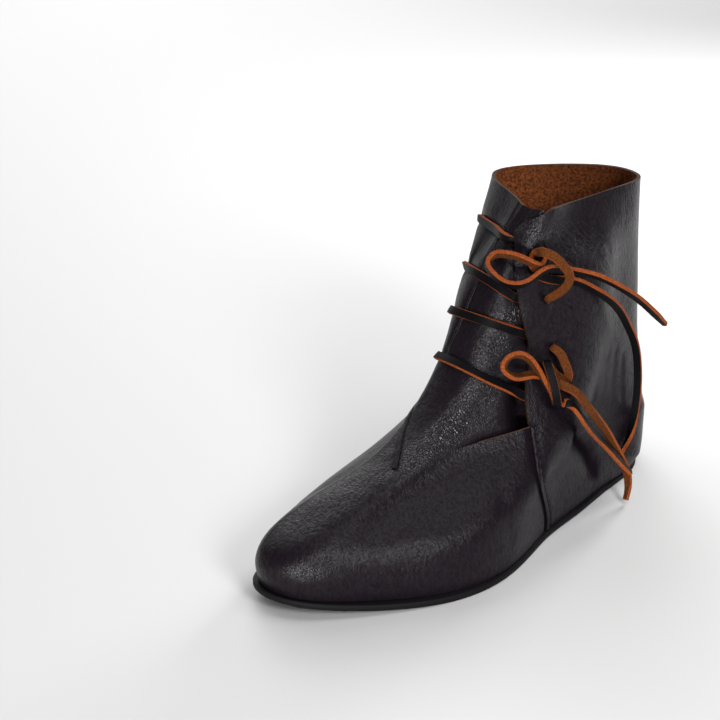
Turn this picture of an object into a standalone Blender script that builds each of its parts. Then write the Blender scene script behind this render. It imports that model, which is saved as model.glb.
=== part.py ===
"""Side-laced ankle boot for the left foot: outsole, hollow upper, tongue, insole and two flat laces.

Lengths in the tables are millimetres; +X is the toe, +Y the lateral side, +Z up.
The leather is one surface, point(turn, rise): turn runs once round the foot (0 back,
0.25 lateral side, 0.5 front, 0.75 medial side) and rise runs from the sole (0) to the collar (1).
"""
from collections import namedtuple

import bpy
import numpy as np

MM = 0.001
ORIGIN = (140.41, 4.01)

SOLE_LENGTH = 284.0
SOLE_THICK = 5.0
SOLE_BEVEL = 0.8
SPRING_START = 0.72
TOE_SPRING = 8.7
ARCH_LIFT = 1.5
ARCH_FROM = 72.0
ARCH_TO = 150.0
WALL = 2.0
GAP = 0.3
INSOLE_THICK = 2.0
INSOLE_INSET = 3.0
LACE_WIDTH = 5.0
LACE_THICK = 2.0
LACE_STEP = 4.0
BAR_STEP = 3.0
BAR_CLEAR = 0.8
BAR_LEAD = 0.020

LAP_COLUMNS = 8
SLIT_COLUMNS = 14
DART_COLUMNS = 12
BACK_COLUMNS = 44
PLATE_COLUMNS = 72
RUNG_CELLS = 2
LOW_ROWS = np.array([0.0, 0.06, 0.13, 0.21, 0.3, 0.4, 0.5, 0.6, 0.7, 0.8, 0.9, 1.0])
HIGH_ROWS = np.linspace(0.0, 1.0, 13)
PANEL_ROWS = np.linspace(0.0, 1.0, 17)

Ring = namedtuple("Ring", "name front_x front_y front_z back_x back_y back_z "
                  "lat_heel lat_waist lat_ball lat_toe med_heel med_waist med_ball med_toe "
                  "back_r front_r tilt")
RINGS = (
    Ring("feather", 281.0, 0.0, 13.5, 1.5, 0.0, 5.0,
         36.5, 36.8, 50.6, 24.8, 36.5, 36.8, 50.6, 24.8, 29.5, 24.0, 0.0),
    Ring("wall", 283.0, 0.0, 23.5, -2.5, 0.0, 16.0,
         37.2, 37.2, 50.4, 24.6, 37.2, 37.2, 50.4, 24.6, 29.5, 23.5, 0.0),
    Ring("crown", 276.0, 0.0, 34.8, -3.0, 0.0, 30.0,
         37.2, 37.8, 47.0, 20.6, 37.2, 37.8, 47.0, 20.6, 29.5, 23.0, 0.0),
    Ring("vamp", 244.4, 0.0, 46.5, -1.0, 0.0, 44.2,
         36.5, 37.8, 41.8, 16.0, 36.5, 37.8, 41.8, 16.0, 29.5, 22.5, 0.0),
    Ring("throat", 196.5, 0.0, 66.3, 3.0, 0.0, 60.3,
         35.3, 37.7, 37.4, 15.5, 35.3, 37.7, 37.4, 15.5, 29.8, 22.0, 0.0),
    Ring("instep", 160.0, 0.0, 101.7, 7.1, 0.0, 82.4,
         32.8, 37.5, 34.8, 16.8, 32.8, 37.5, 34.2, 17.2, 31.5, 24.0, 0.0),
    Ring("ankle", 144.0, 1.6, 132.5, 11.4, 1.0, 108.5,
         31.4, 35.4, 31.5, 16.4, 32.5, 39.2, 38.2, 19.5, 32.0, 23.0, 0.5),
    Ring("shaft", 131.5, 7.9, 157.0, 11.8, 2.0, 140.7,
         26.5, 31.0, 26.8, 15.0, 32.4, 45.4, 42.7, 15.7, 29.0, 19.5, 1.5),
    Ring("collar", 119.5, 16.9, 180.5, 14.2, 2.0, 175.0,
         24.2, 21.2, 15.0, 11.0, 33.2, 54.4, 41.1, 13.7, 23.5, 17.6, 2.1),
)
STATIONS = (0.0, 0.16, 0.42, 0.70, 0.93, 1.0)
SOLE_WIDTHS = (39.6, 39.8, 53.6, 27.8)
SOLE_BACK_R = 29.5
SOLE_FRONT_R = 25.0
WAIST_FILL = 3.4
WAIST_X = 88.0
WAIST_SPAN = 26.0
WAIST_TOP = 0.40

Sway = namedtuple("Sway", "x y")
SWAY = (Sway(0.0, 0.0), Sway(45.0, 0.0), Sway(119.0, 5.3), Sway(199.0, 3.1), Sway(284.0, -10.5))

# edges of the leather on the surface, as turn against rise
Edge = namedtuple("Edge", "turn rise")
FLAP_EDGE = (Edge(0.323, 0.458), Edge(0.344, 0.528), Edge(0.365, 0.636), Edge(0.408, 0.744),
             Edge(0.483, 0.884), Edge(0.512, 0.930))
FLAP_TOP = (Edge(0.430, 1.0), Edge(0.456, 0.986), Edge(0.490, 0.967), Edge(0.505, 0.954), Edge(0.512, 0.930))
MEDIAL_SEAM = (Edge(0.672, 0.490), Edge(0.600, 0.540), Edge(0.535, 0.604), Edge(0.526, 0.718),
               Edge(0.538, 0.824), Edge(0.566, 0.926), Edge(0.580, 1.0))
SLIT_EDGE = (Edge(0.323, 0.458), Edge(0.344, 0.447), Edge(0.368, 0.435), Edge(0.398, 0.424),
             Edge(0.448, 0.412), Edge(0.480, 0.398))
MEDIAL_DART = (Edge(0.480, 0.398), Edge(0.515, 0.442), Edge(0.561, 0.478), Edge(0.672, 0.490))
LAP_TURN = 0.085
LAP_RISE = 0.045
SINK_TURN = 0.055
SINK_RISE = 0.030
SINK_CLEAR = 0.022
SLIT_END = 0.375
LAP_GAP = 0.7
FLAP_GAP = 2.0 * BAR_CLEAR + LACE_THICK
EDGE_GAP = 0.0032

# bars of the lace on the surface, from the hole in the flap, under the flap's edge, to the hole on the medial side
LACE_BARS = {
    "upper_lace_bar_1": (Edge(0.408, 0.880), Edge(0.507, 0.916), Edge(0.533, 0.918), Edge(0.612, 0.910),
                         Edge(0.700, 0.890)),
    "upper_lace_bar_2": (Edge(0.353, 0.742), Edge(0.410, 0.744), Edge(0.449, 0.762), Edge(0.489, 0.780),
                         Edge(0.580, 0.785), Edge(0.665, 0.765)),
    "lower_lace_bar_1": (Edge(0.329, 0.630), Edge(0.372, 0.656), Edge(0.414, 0.674), Edge(0.462, 0.684),
                         Edge(0.540, 0.683), Edge(0.620, 0.665)),
    "lower_lace_bar_2": (Edge(0.304, 0.502), Edge(0.343, 0.525), Edge(0.378, 0.548), Edge(0.437, 0.574),
                         Edge(0.520, 0.588), Edge(0.610, 0.570)),
}

# directions at the lacing, which faces forward and outward: out of the flap, up along it, and back along the foot
AXES = {"out": (0.668, 0.624, 0.406), "up": (-0.297, -0.277, 0.914), "back": (-0.682, 0.731, 0.0),
        "in": (-0.668, -0.624, -0.406), "down": (0.297, 0.277, -0.914), "fore": (0.682, -0.731, 0.0)}

# routes of the tied strands, from the hole in the flap to the free end, with the way that the strip's edge points
Lay = namedtuple("Lay", "x y z edge")
LACE_STRANDS = {
    "upper_lace_loop": (
        Lay(122.5, 31.5, 160.5, "up out"), Lay(122.0, 33.1, 156.7, "up out"), Lay(124.2, 33.7, 153.9, "up out"),
        Lay(131.2, 33.8, 156.5, "up out"), Lay(134.5, 30.3, 159.9, "up out"), Lay(137.0, 25.7, 161.9, "up out"),
        Lay(138.9, 20.1, 162.1, "up out"), Lay(141.4, 14.4, 160.5, "up out"), Lay(145.6, 13.6, 157.1, "up out"),
        Lay(148.6, 17.9, 154.1, "up out"), Lay(150.1, 23.7, 151.7, "up out"), Lay(149.3, 28.9, 149.6, "up out"),
        Lay(145.7, 33.2, 148.6, "up out"), Lay(139.8, 36.3, 149.4, "up out"), Lay(132.8, 37.7, 152.1, "up out"),
        Lay(125.9, 38.7, 153.2, "up out"), Lay(118.0, 40.1, 151.4, "up out"), Lay(111.2, 41.5, 149.0, "up out"),
        Lay(102.8, 45.2, 146.3, "up out"), Lay(93.3, 49.5, 142.0, "up out"), Lay(81.8, 53.4, 134.7, "up out"),
        Lay(67.2, 55.1, 124.7, "up back out"), Lay(52.6, 56.0, 113.0, "up back out"),
        Lay(38.5, 56.2, 101.1, "up back out")),
    "upper_lace_wrap": (
        Lay(119.0, 34.2, 133.5, "back down"), Lay(118.5, 36.9, 135.8, "back down"), Lay(117.4, 40.4, 138.6, "back"),
        Lay(116.9, 43.6, 142.4, "back"), Lay(116.9, 45.5, 146.4, "back"), Lay(118.6, 46.0, 151.0, "back"),
        Lay(121.5, 43.8, 155.8, "back up"), Lay(125.1, 40.5, 160.4, "up"), Lay(127.8, 36.8, 162.2, "up"),
        Lay(126.7, 31.6, 160.6, "up out"), Lay(127.8, 28.4, 156.6, "out"), Lay(128.4, 28.9, 153.0, "out"),
        Lay(125.7, 30.6, 148.9, "out up"), Lay(120.6, 32.8, 145.2, "up"), Lay(114.7, 34.9, 143.0, "up"),
        Lay(108.2, 37.2, 141.8, "up"), Lay(102.5, 40.2, 140.2, "up up out"), Lay(96.5, 43.2, 137.0, "up up out"),
        Lay(89.7, 46.3, 132.5, "up back out"), Lay(73.1, 47.9, 120.4, "back up out"),
        Lay(54.4, 45.1, 102.2, "back back out"), Lay(38.4, 41.9, 81.8, "back back out"),
        Lay(33.9, 41.7, 64.7, "back back out"), Lay(33.3, 41.8, 51.3, "back back out"),
        Lay(33.6, 41.5, 41.1, "back back out"), Lay(37.4, 41.2, 26.3, "back"), Lay(45.8, 41.0, 17.4, "back")),
    "lower_lace_loop": (
        Lay(123.4, 45.6, 78.8, "out"), Lay(126.0, 44.6, 84.4, "out"), Lay(130.7, 43.4, 92.8, "out"),
        Lay(135.7, 41.8, 101.1, "out out up"), Lay(139.9, 38.5, 108.5, "out out up"),
        Lay(144.5, 35.1, 112.1, "out out up"), Lay(149.7, 32.3, 111.0, "out out fore"),
        Lay(152.5, 31.5, 106.3, "out out fore"), Lay(149.4, 33.2, 100.7, "out out down"),
        Lay(142.3, 35.7, 97.1, "out out down"), Lay(134.2, 38.1, 96.6, "out down"), Lay(127.4, 41.5, 94.0, "down"),
        Lay(121.4, 45.8, 89.3, "down"), Lay(112.9, 50.3, 83.5, "down"), Lay(105.2, 53.7, 75.7, "down fore"),
        Lay(94.9, 54.8, 64.9, "down fore"), Lay(78.3, 54.0, 45.7, "fore"), Lay(67.6, 54.6, 28.5, "fore"),
        Lay(62.6, 55.4, 16.9, "fore"), Lay(63.4, 56.9, 8.9, "fore"), Lay(67.7, 58.3, 3.2, "fore")),
    "lower_lace_wrap": (
        Lay(118.4, 38.6, 107.1, "down fore"), Lay(117.3, 41.7, 105.1, "down fore"), Lay(116.1, 44.5, 100.4, "fore"),
        Lay(113.8, 45.7, 94.2, "fore"), Lay(112.4, 44.7, 88.8, "up fore"), Lay(116.2, 42.5, 90.3, "up"),
        Lay(120.4, 40.1, 95.0, "back up"), Lay(124.5, 40.0, 100.0, "back"), Lay(128.1, 42.1, 102.7, "back"),
        Lay(129.9, 45.6, 99.5, "back"), Lay(129.4, 49.0, 91.8, "back"), Lay(127.3, 51.1, 83.7, "back"),
        Lay(121.8, 52.1, 76.9, "back up"), Lay(114.6, 53.0, 71.1, "back up in"), Lay(106.6, 55.0, 63.3, "back up in"),
        Lay(90.4, 55.6, 47.0, "back up in"), Lay(81.9, 56.7, 34.9, "back up in"), Lay(74.8, 58.4, 27.0, "back up in"),
        Lay(67.6, 59.8, 20.6, "back up in")),
}


def spline(knots, values, at):
    """Natural cubic spline through the rows of values."""
    knots = np.asarray(knots, float)
    values = np.asarray(values, float).reshape(len(knots), -1)
    at = np.asarray(at, float)
    step = np.diff(knots)
    left = np.eye(len(knots))
    right = np.zeros_like(values)
    for i in range(1, len(knots) - 1):
        left[i, i - 1:i + 2] = step[i - 1], 2.0 * (step[i - 1] + step[i]), step[i]
        right[i] = 6.0 * ((values[i + 1] - values[i]) / step[i] - (values[i] - values[i - 1]) / step[i - 1])
    bend = np.linalg.solve(left, right)
    i = np.clip(np.searchsorted(knots, at, side="right") - 1, 0, len(knots) - 2)
    a = (knots[i + 1] - at)[..., None]
    b = (at - knots[i])[..., None]
    h = step[i][..., None]
    cubic = (bend[i] * a ** 3 + bend[i + 1] * b ** 3) / (6.0 * h)
    return cubic + (values[i] / h - bend[i] * h / 6.0) * a + (values[i + 1] / h - bend[i + 1] * h / 6.0) * b


def smooth(x):
    x = np.clip(x, 0.0, 1.0)
    return x * x * (3.0 - 2.0 * x)


TABLE = np.array([ring[1:] for ring in RINGS])
CHORDS = (np.linalg.norm(np.diff(TABLE[:, [0, 2]], axis=0), axis=1) ** 0.5
          + np.linalg.norm(np.diff(TABLE[:, [3, 5]], axis=0), axis=1) ** 0.5)
RISES = np.concatenate([[0.0], np.cumsum(CHORDS)]) / CHORDS.sum()
ANGLES = np.arccos(1.0 - 2.0 * np.array(STATIONS))
SOLVE = np.linalg.inv(np.cos(np.outer(ANGLES, np.arange(6)))).T


def sway(x):
    return spline([s.x for s in SWAY], [s.y for s in SWAY], np.clip(x, -10.0, 300.0))[..., 0]


def half_width(angle, length, back_r, front_r, widths):
    """Distance from the centre line to the ring at an angle, from the widths at the four stations."""
    half = length / 2.0
    ends = np.sqrt(back_r * half)[..., None], np.sqrt(front_r * half)[..., None]
    values = np.concatenate([ends[0], widths / np.sin(ANGLES[1:5]), ends[1]], axis=-1)
    waves = np.cos(angle[..., None] * np.arange(6))
    return np.sin(angle) * (waves * (values @ SOLVE)).sum(-1)


def waist_fill(x):
    """The lateral side runs almost straight from the heel to the ball."""
    return WAIST_FILL * np.exp(-((x - WAIST_X) / WAIST_SPAN) ** 2)


def toe_lift(x):
    return TOE_SPRING * np.clip((x / SOLE_LENGTH - SPRING_START) / (1.0 - SPRING_START), 0.0, 1.0) ** 2


def point(turn, rise):
    """Outer face of the leather."""
    turn, rise = np.broadcast_arrays(np.asarray(turn, float) % 1.0, np.asarray(rise, float))
    row = spline(RISES, TABLE, rise)
    front_x, front_y, front_z, back_x, back_y, back_z = np.moveaxis(row[..., :6], -1, 0)
    lateral = turn <= 0.5
    angle = np.where(lateral, turn, 1.0 - turn) * 2.0 * np.pi
    along = (1.0 - np.cos(angle)) / 2.0
    x = back_x + (front_x - back_x) * along
    z = back_z + (front_z - back_z) * along
    widths = np.where(lateral[..., None], row[..., 6:10], row[..., 10:14])
    length = np.hypot(front_x - back_x, front_z - back_z)
    out = half_width(angle, length, row[..., 14], row[..., 15], widths) * np.where(lateral, 1.0, -1.0)
    out = out + np.where(lateral, waist_fill(x), 0.0) * smooth(1.0 - rise / WAIST_TOP)
    y = sway(x) + back_y + (front_y - back_y) * along + out
    drape = np.clip(1.0 - rise / RISES[2], 0.0, 1.0) ** 1.5
    z = z + drape * (SOLE_THICK + GAP + toe_lift(x) - (5.0 + 8.5 * along)) + row[..., 16] * out / 35.0
    return np.stack([x, y, z], axis=-1)


def normal(turn, rise):
    step = 1e-4
    rise = np.asarray(rise, float)
    low = np.clip(rise - step, 0.0, 1.0)
    high = np.clip(rise + step, 0.0, 1.0)
    round_foot = point(np.asarray(turn) + step, rise) - point(np.asarray(turn) - step, rise)
    upward = point(turn, high) - point(turn, low)
    out = np.cross(upward, round_foot)
    out[..., 2] *= smooth(rise / 0.08)
    return out / np.linalg.norm(out, axis=-1, keepdims=True)


def skin(turn, rise, depth):
    """Point at a depth inside the outer face, or outside it where the depth is negative."""
    return point(turn, rise) - normal(turn, rise) * np.asarray(depth, float)[..., None]


def rise_on(edge, turn):
    return np.interp(turn, [e.turn for e in edge], [e.rise for e in edge])


def turn_on(edge, rise):
    level = np.clip(rise, edge[0].rise, edge[-1].rise)
    return spline([e.rise for e in edge], [e.turn for e in edge], level)[..., 0]


def tongue_depth(turn, rise):
    """The tongue is flush with the upper, and sinks under the flap and under the slit edge."""
    flap = turn_on(FLAP_EDGE, rise)
    under_flap = smooth((flap + SINK_CLEAR + SINK_TURN - turn) / SINK_TURN)
    slit = rise_on(SLIT_EDGE, turn)
    open_slit = smooth((SLIT_END + 0.03 - turn) / 0.03)
    under_slit = smooth((slit + SINK_CLEAR + SINK_RISE - rise) / SINK_RISE) * open_slit
    return np.maximum((WALL + FLAP_GAP) * under_flap, (WALL + LAP_GAP) * under_slit)


def add(name, points, faces):
    mesh = bpy.data.meshes.new(name)
    points = (np.asarray(points) - (ORIGIN[0], ORIGIN[1], 0.0)) * MM
    mesh.from_pydata([tuple(p) for p in points], [], faces)
    mesh.update()
    body = bpy.data.objects.new(name, mesh)
    bpy.context.scene.collection.objects.link(body)
    return body


def solid(name, outer, inner, quads):
    """Closed body between two sheets that share one list of faces, with side faces along the free edges."""
    count = len(outer)
    edges = {}
    for face in quads:
        for a, b in zip(face, face[1:] + face[:1]):
            edges[(a, b)] = edges.get((a, b), 0) + 1
    faces = [tuple(reversed(f)) for f in quads]
    faces += [tuple(count + i for i in f) for f in quads]
    for a, b in edges:
        if (b, a) not in edges:
            faces.append((a, b, count + b, count + a))
    return add(name, np.concatenate([outer, inner]), faces)


def throat_columns():
    """Turns of the throat's lower edge from the lateral corner past its point to the medial corner, and rises."""
    slit = np.linspace(SLIT_EDGE[0].turn, SLIT_EDGE[-1].turn, SLIT_COLUMNS + 1)
    dart = np.linspace(MEDIAL_DART[0].turn, MEDIAL_DART[-1].turn, DART_COLUMNS + 1)
    turns = np.concatenate([slit[:-1], dart])
    rises = np.concatenate([rise_on(SLIT_EDGE, slit[:-1]), rise_on(MEDIAL_DART, dart)])
    return turns, rises


def upper():
    """Lower part round the whole foot, up to the throat's edge, and the quarters above it."""
    front, front_top = throat_columns()
    around = np.linspace(0.0, 1.0, BACK_COLUMNS + 1)
    back = front[-1] + (front[0] + 1.0 - front[-1]) * around
    back_top = front_top[-1] + (front_top[0] - front_top[-1]) * around
    turns = np.concatenate([front, back[1:-1]])
    top = np.concatenate([front_top, back_top[1:-1]])
    columns = len(turns)
    turn = [np.tile(turns, len(LOW_ROWS))]
    rise = [np.outer(LOW_ROWS, top).ravel()]
    quads = []
    for r in range(len(LOW_ROWS) - 1):
        for c in range(columns):
            a, b = r * columns + c, r * columns + (c + 1) % columns
            quads.append([a, b, b + columns, a + columns])
    last = (len(LOW_ROWS) - 1) * columns
    base = [last + c % columns for c in range(len(front) - 1, columns + 1)]
    start = last + columns
    rim = MEDIAL_SEAM[-1].turn + (FLAP_EDGE[-1].turn + 1.0 - MEDIAL_SEAM[-1].turn) * around
    limit = np.interp(rim - 1.0, [e.turn for e in FLAP_TOP], [e.rise for e in FLAP_TOP])
    for h in HIGH_ROWS[1:]:
        seam = turn_on(MEDIAL_SEAM, back_top[0] + (1.0 - back_top[0]) * h)
        flap = turn_on(FLAP_EDGE, back_top[-1] + (FLAP_EDGE[-1].rise - back_top[-1]) * h)
        turn.append(seam + (flap + 1.0 - seam) * around)
        rise.append(back_top + (limit - back_top) * h)
        row = list(range(start, start + len(base)))
        for c in range(BACK_COLUMNS):
            quads.append([base[c], base[c + 1], row[c + 1], row[c]])
        base = row
        start += len(row)
    turn = np.concatenate(turn)
    rise = np.concatenate(rise)
    return solid("upper", point(turn, rise), skin(turn, rise, np.full(turn.shape, WALL)), quads)


def tongue():
    """Front panel from the throat's edge to the collar, with laps under the flap and the slit edge."""
    edge_turns, edge_rises = throat_columns()
    lap_turns = np.linspace(edge_turns[0] - LAP_TURN, edge_turns[0], LAP_COLUMNS + 1)[:-1]
    turns = np.concatenate([lap_turns, edge_turns])
    rises = np.concatenate([np.full(LAP_COLUMNS, edge_rises[0]), edge_rises])
    lap = LAP_RISE * smooth((SLIT_END - turns) / 0.02)
    bottom = rises - lap + EDGE_GAP
    columns = len(turns)
    lateral = turn_on(FLAP_EDGE, bottom) - LAP_TURN
    medial = turn_on(MEDIAL_SEAM, rises)
    share = (turns - lateral) / (medial - lateral)
    turn, rise = [], []
    for h in PANEL_ROWS:
        level = bottom + (1.0 - bottom) * h
        lateral = turn_on(FLAP_EDGE, level) - LAP_TURN
        medial = turn_on(MEDIAL_SEAM, level) - EDGE_GAP
        turn.append(lateral + (medial - lateral) * share)
        rise.append(level)
    turn = np.concatenate(turn)
    rise = np.concatenate(rise)
    quads = []
    for r in range(len(PANEL_ROWS) - 1):
        for c in range(columns - 1):
            a = r * columns + c
            quads.append([a, a + 1, a + 1 + columns, a + columns])
    depth = tongue_depth(turn, rise)
    return solid("tongue", skin(turn, rise, depth), skin(turn, rise, depth + WALL), quads)


def plate(name, rings, bottom, top):
    """Flat body from a stack of outlines, each one (x, y, z) down one side and back along the other."""
    count = len(rings[0])
    half = count // 2
    points = [p for ring in rings for p in ring]
    faces = []
    for r in range(len(rings) - 1):
        for c in range(count):
            a, b = r * count + c, r * count + (c + 1) % count
            faces.append((b, a, a + count, b + count))
    for ring, level, flip in ((0, bottom, True), (len(rings) - 1, top, False)):
        base = ring * count
        rungs = [[base]]
        for i in range(1, half):
            one, two = np.array(points[base + i]), np.array(points[base + count - i])
            rung = [base + i]
            for k in range(1, RUNG_CELLS):
                p = one + (two - one) * k / RUNG_CELLS
                points.append((p[0], p[1], level(p[0], p[1])))
                rung.append(len(points) - 1)
            rungs.append(rung + [base + count - i])
        rungs.append([base + half])
        for one, two in zip(rungs, rungs[1:]):
            for k in range(max(len(one), len(two)) - 1):
                face = [one[min(k, len(one) - 1)], two[min(k, len(two) - 1)],
                        two[min(k + 1, len(two) - 1)], one[min(k + 1, len(one) - 1)]]
                face = list(dict.fromkeys(face))
                faces.append(tuple(face if flip else reversed(face)))
    return add(name, points, faces)


def around_foot(count):
    """Turns of a plate's outline, back to front along the lateral side and back along the medial side."""
    return np.arange(count) / count


def sole_line(inset):
    turn = around_foot(PLATE_COLUMNS)
    lateral = turn <= 0.5
    angle = np.where(lateral, turn, 1.0 - turn) * 2.0 * np.pi
    widths = np.tile(np.array(SOLE_WIDTHS), (len(turn), 1))
    ends = np.full(len(turn), SOLE_BACK_R), np.full(len(turn), SOLE_FRONT_R)
    wide = half_width(angle, np.full(len(turn), SOLE_LENGTH), ends[0], ends[1], widths)
    x = SOLE_LENGTH * (1.0 - np.cos(angle)) / 2.0
    line = np.stack([x, sway(x) + np.where(lateral, wide + waist_fill(x), -wide)], axis=-1)
    return inward(line, inset)


def inward(line, inset):
    along = np.roll(line, -1, axis=0) - np.roll(line, 1, axis=0)
    out = np.stack([along[:, 1], -along[:, 0]], axis=-1)
    centre = line.mean(axis=0)
    out *= np.sign((out * (line - centre)).sum(axis=-1).sum())
    return line - inset * out / np.linalg.norm(out, axis=-1, keepdims=True)


def ground(x, y):
    """Underside of the sole: flat under heel and ball, a shallow arch between, and the toe spring."""
    arch = smooth((x - ARCH_FROM) / 25.0) * smooth((ARCH_TO - x) / 25.0)
    return toe_lift(x) + ARCH_LIFT * arch


def tread(x, y):
    return SOLE_THICK + toe_lift(x)


def lifted(line, level):
    return [(x, y, level(x, y)) for x, y in line]


def outsole():
    rings = [lifted(sole_line(SOLE_BEVEL), ground),
             lifted(sole_line(0.0), lambda x, y: ground(x, y) + SOLE_BEVEL),
             lifted(sole_line(0.0), lambda x, y: tread(x, y) - SOLE_BEVEL),
             lifted(sole_line(SOLE_BEVEL), tread)]
    return plate("outsole", rings, ground, tread)


def insole():
    line = inward(point(around_foot(PLATE_COLUMNS), 0.0)[:, :2], INSOLE_INSET)

    def low(x, y):
        return tread(x, y) + GAP

    def high(x, y):
        return tread(x, y) + GAP + INSOLE_THICK

    return plate("insole", [lifted(line, low), lifted(line, high)], low, high)


def unit(vectors):
    return vectors / np.linalg.norm(vectors, axis=-1, keepdims=True)


def even_line(points, step):
    """Places along a smooth line through the points, about a step apart, as fractions of its knots."""
    chord = np.linalg.norm(np.diff(points, axis=0), axis=1)
    knots = np.concatenate([[0.0], np.cumsum(chord)])
    count = int(round(knots[-1] / step)) + 1
    return knots, np.linspace(0.0, knots[-1], count)


def ribbon(name, centre, across):
    """Flat strip of lace along a line, with its width in the given directions."""
    along = unit(np.gradient(centre, axis=0))
    across = unit(across - along * (across * along).sum(-1, keepdims=True))
    face = np.cross(along, across)
    corners = []
    for w, t in ((0.5, 0.5), (-0.5, 0.5), (-0.5, -0.5), (0.5, -0.5)):
        corners.append(centre + across * LACE_WIDTH * w + face * LACE_THICK * t)
    points = np.stack(corners, axis=1).reshape(-1, 3)
    faces = [(3, 2, 1, 0), tuple(range(len(points) - 4, len(points)))]
    for i in range(len(centre) - 1):
        for k in range(4):
            a, b = 4 * i + k, 4 * i + (k + 1) % 4
            faces.append((a, b, b + 4, a + 4))
    return add(name, points, faces)


def lace_bar(name):
    """Bar over the front panel, and under the flap between it and the panel."""
    rows = np.array(LACE_BARS[name])
    knots, at = even_line(point(rows[:, 0], rows[:, 1]), BAR_STEP)
    turn, rise = spline(knots, rows, at).T
    flap = turn_on(FLAP_EDGE, rise)
    depth = np.where(turn < flap + LAP_TURN, tongue_depth(turn + BAR_LEAD, rise), 0.0)
    centre = skin(turn, rise, depth - BAR_CLEAR - LACE_THICK / 2.0)
    return ribbon(name, centre, np.cross(normal(turn, rise), np.gradient(centre, axis=0)))


def lace_strand(name):
    """Strand of a half bow, from its hole to its free end."""
    rows = LACE_STRANDS[name]
    places = np.array([row[:3] for row in rows])
    edges = unit(np.array([sum(np.array(AXES[word]) for word in row.edge.split()) for row in rows]))
    knots, at = even_line(places, LACE_STEP)
    across = np.stack([np.interp(at, knots, edges[:, i]) for i in range(3)], axis=-1)
    return ribbon(name, spline(knots, places, at), across)


def build():
    for old in list(bpy.data.objects):
        bpy.data.objects.remove(old, do_unlink=True)
    outsole()
    upper()
    tongue()
    insole()
    for name in LACE_BARS:
        lace_bar(name)
    for name in LACE_STRANDS:
        lace_strand(name)


build()
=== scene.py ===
"""Looks of a black leather ankle boot for the left foot, laced at its outer side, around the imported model.

Tables are in millimetres from the back of the heel: +X is the toe, +Y the lateral side, +Z up.
The leather is one surface, point(turn, rise): turn runs once round the foot (0 back, 0.25 lateral
side, 0.5 front, 0.75 medial side) and rise runs from the sole (0) to the collar (1).
"""
from collections import namedtuple

import bpy
import numpy as np
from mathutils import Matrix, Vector


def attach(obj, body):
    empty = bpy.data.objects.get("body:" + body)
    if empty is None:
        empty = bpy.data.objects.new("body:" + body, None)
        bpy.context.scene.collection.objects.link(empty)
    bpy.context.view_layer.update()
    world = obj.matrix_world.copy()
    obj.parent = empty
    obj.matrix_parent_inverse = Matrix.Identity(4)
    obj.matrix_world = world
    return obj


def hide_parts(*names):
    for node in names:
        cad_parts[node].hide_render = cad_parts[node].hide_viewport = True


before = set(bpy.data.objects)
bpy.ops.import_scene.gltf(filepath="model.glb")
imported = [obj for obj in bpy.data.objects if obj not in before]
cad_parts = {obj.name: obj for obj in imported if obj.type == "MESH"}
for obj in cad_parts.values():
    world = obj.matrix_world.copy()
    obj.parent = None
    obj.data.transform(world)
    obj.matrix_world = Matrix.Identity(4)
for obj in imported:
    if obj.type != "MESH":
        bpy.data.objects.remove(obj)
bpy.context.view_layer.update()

MM = 0.001
ORIGIN = np.array([140.41, 4.01, 0.0])

SOLE_LENGTH = 284.0
SOLE_THICK = 3.6
SOLE_ROUND = 0.8
SOLE_BEVEL = 0.25
SPRING_START = 0.72
TOE_SPRING = 8.7
ARCH_LIFT = 0.4
ARCH_FROM = 72.0
ARCH_TO = 150.0
ARCH_EASE = 25.0
WALL = 2.0
GAP = 0.3
INSOLE_THICK = 2.0
INSOLE_INSET = 3.0
INSOLE_ROUND = 0.5
LACE_WIDTH = 4.6
LACE_THICK = 2.4
LACE_STEP = 1.2
HOLE_NARROW = 0.6
HOLE_REACH = 12.0
TIP_NARROW = 0.62
TIP_REACH = 14.0
BAR_CLEAR = 0.3
BAR_LEAD = -0.004
BAR_BEYOND = 0.25
BAR_NARROW = 0.45
BAR_NARROW_REACH = 9.0
DIVE_LEAD = 3.0
DIVE_REACH = 6.0
ROLL_LEAD = 0.004
ROLL_EASE = 0.02
ROLL_LIFT = 0.5
BAR_GROOVE = 3.2
PULL_START = 0.50
PULL_REACH = 0.07
INNER_OVER = 0.1

# fine grid of the leather, and counts of places along lines
LAP_COLUMNS = 26
SLIT_COLUMNS = 56
DART_COLUMNS = 56
BACK_COLUMNS = 320
FINE_COLUMNS = 2.2
FINE_MEDIAL = 0.18
FINE_LATERAL = 0.62
FINE_EASE = 0.06
FINE_SAMPLES = 2001
LOW_ROWS = np.linspace(0.0, 1.0, 49)
HIGH_ROWS = np.linspace(0.0, 1.0, 65)
PANEL_ROWS = np.linspace(0.0, 1.0, 97)
PLATE_COLUMNS = 240
PLATE_CELLS = 12
CAVITY_COUNT = 24
CREASE_COUNT = 64
BAR_COUNT = 48
PAINTED_SHADE_COUNT = 240
PAINTED_SHADE_PARTS = 40
SEAM_COUNT = 120
INNER_COUNT = 40
SHARP_ANGLE = 50.0

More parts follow.
